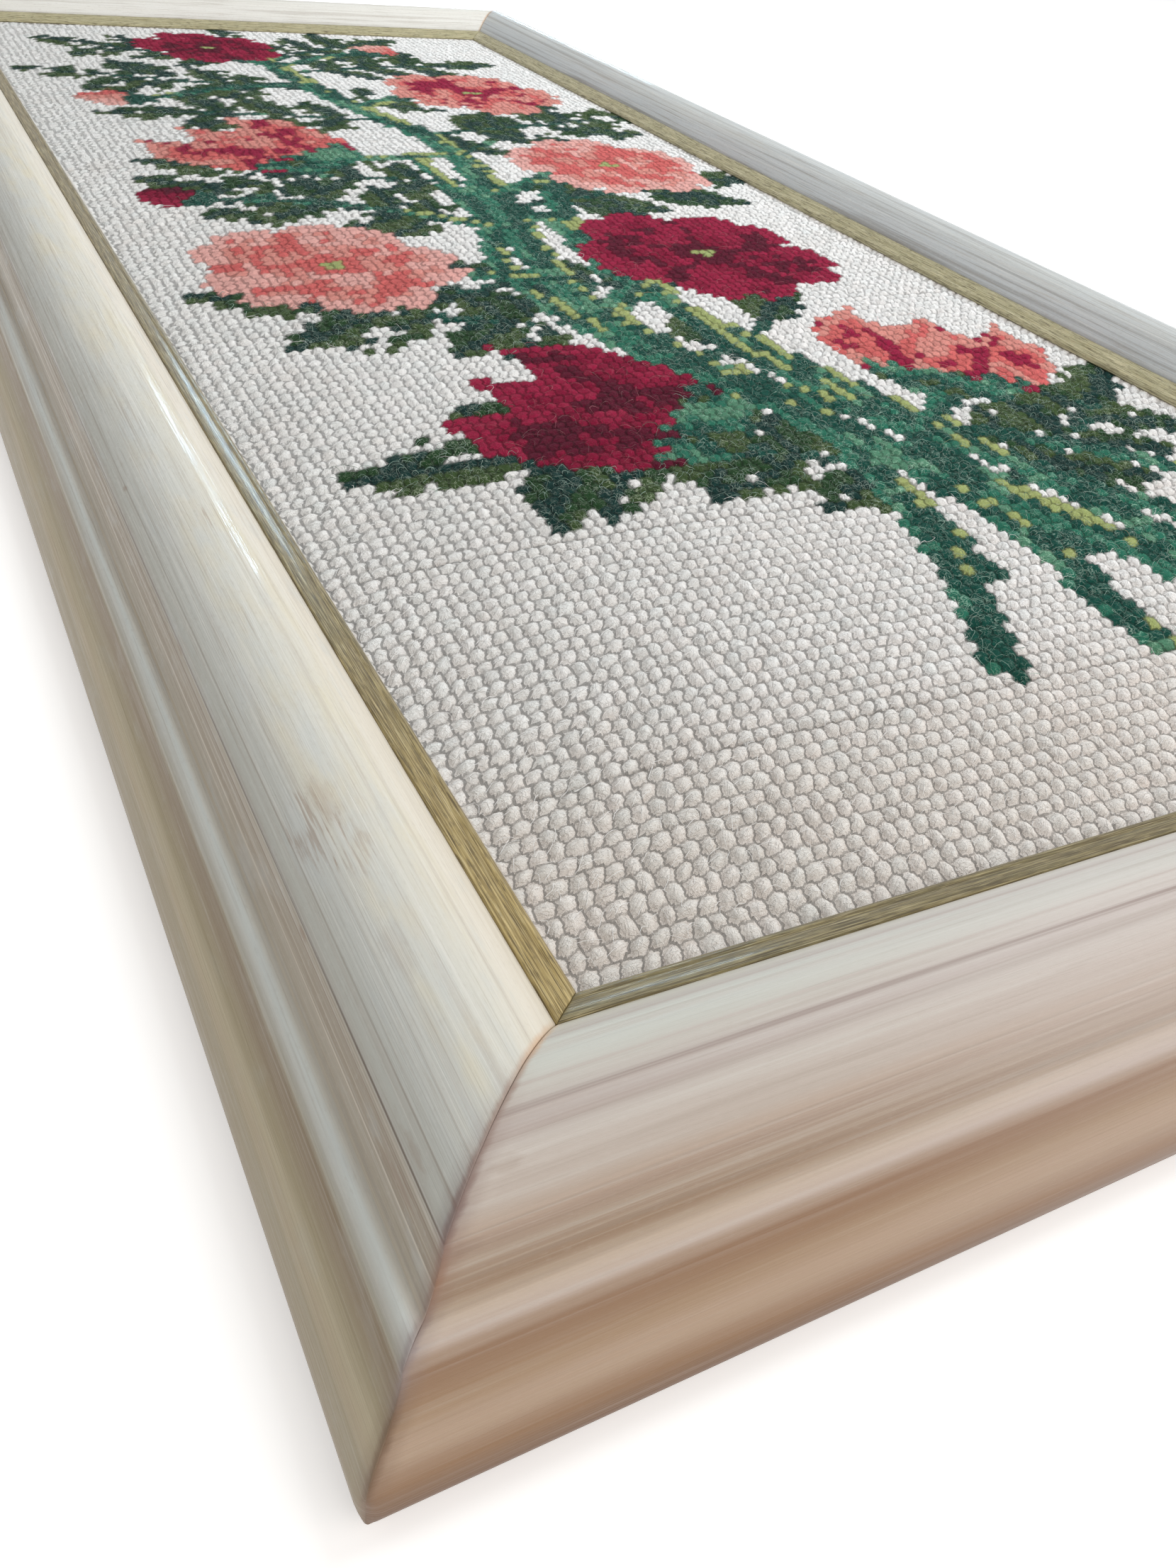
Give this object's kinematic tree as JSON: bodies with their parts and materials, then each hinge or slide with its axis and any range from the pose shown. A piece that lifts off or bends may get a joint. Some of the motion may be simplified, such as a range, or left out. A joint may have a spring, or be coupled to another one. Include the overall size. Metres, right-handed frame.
{
  "type": "framed needlepoint picture in a moulded wood frame",
  "caption": "Tall narrow wool needlepoint flower panel in a whitened wood moulding with mitred corners and a gilt inner slip.",
  "frame": {"origin": "on the plane of the frame's back, under the middle of the picture", "axes": "+Z out of the picture's face, +Y up the picture, +X to its right"},
  "size_m": [0.2676, 0.5776, 0.0238],
  "materials": {
    "frame_wood": "whitened wood under satin lacquer, streaked along the grain",
    "gilt": "brushed gilt paint on wood",
    "wool": "matt wool tent stitch on canvas",
    "board": "plain pressed board"
  },
  "bodies": {
    "root": {"rail_bottom": "frame_wood", "rail_right": "frame_wood", "rail_top": "frame_wood", "rail_left": "frame_wood", "gilt_slip_bottom": "gilt", "gilt_slip_right": "gilt", "gilt_slip_top": "gilt", "gilt_slip_left": "gilt", "needlepoint": "wool", "mounting_board": "board"}
  },
  "joints": []
}
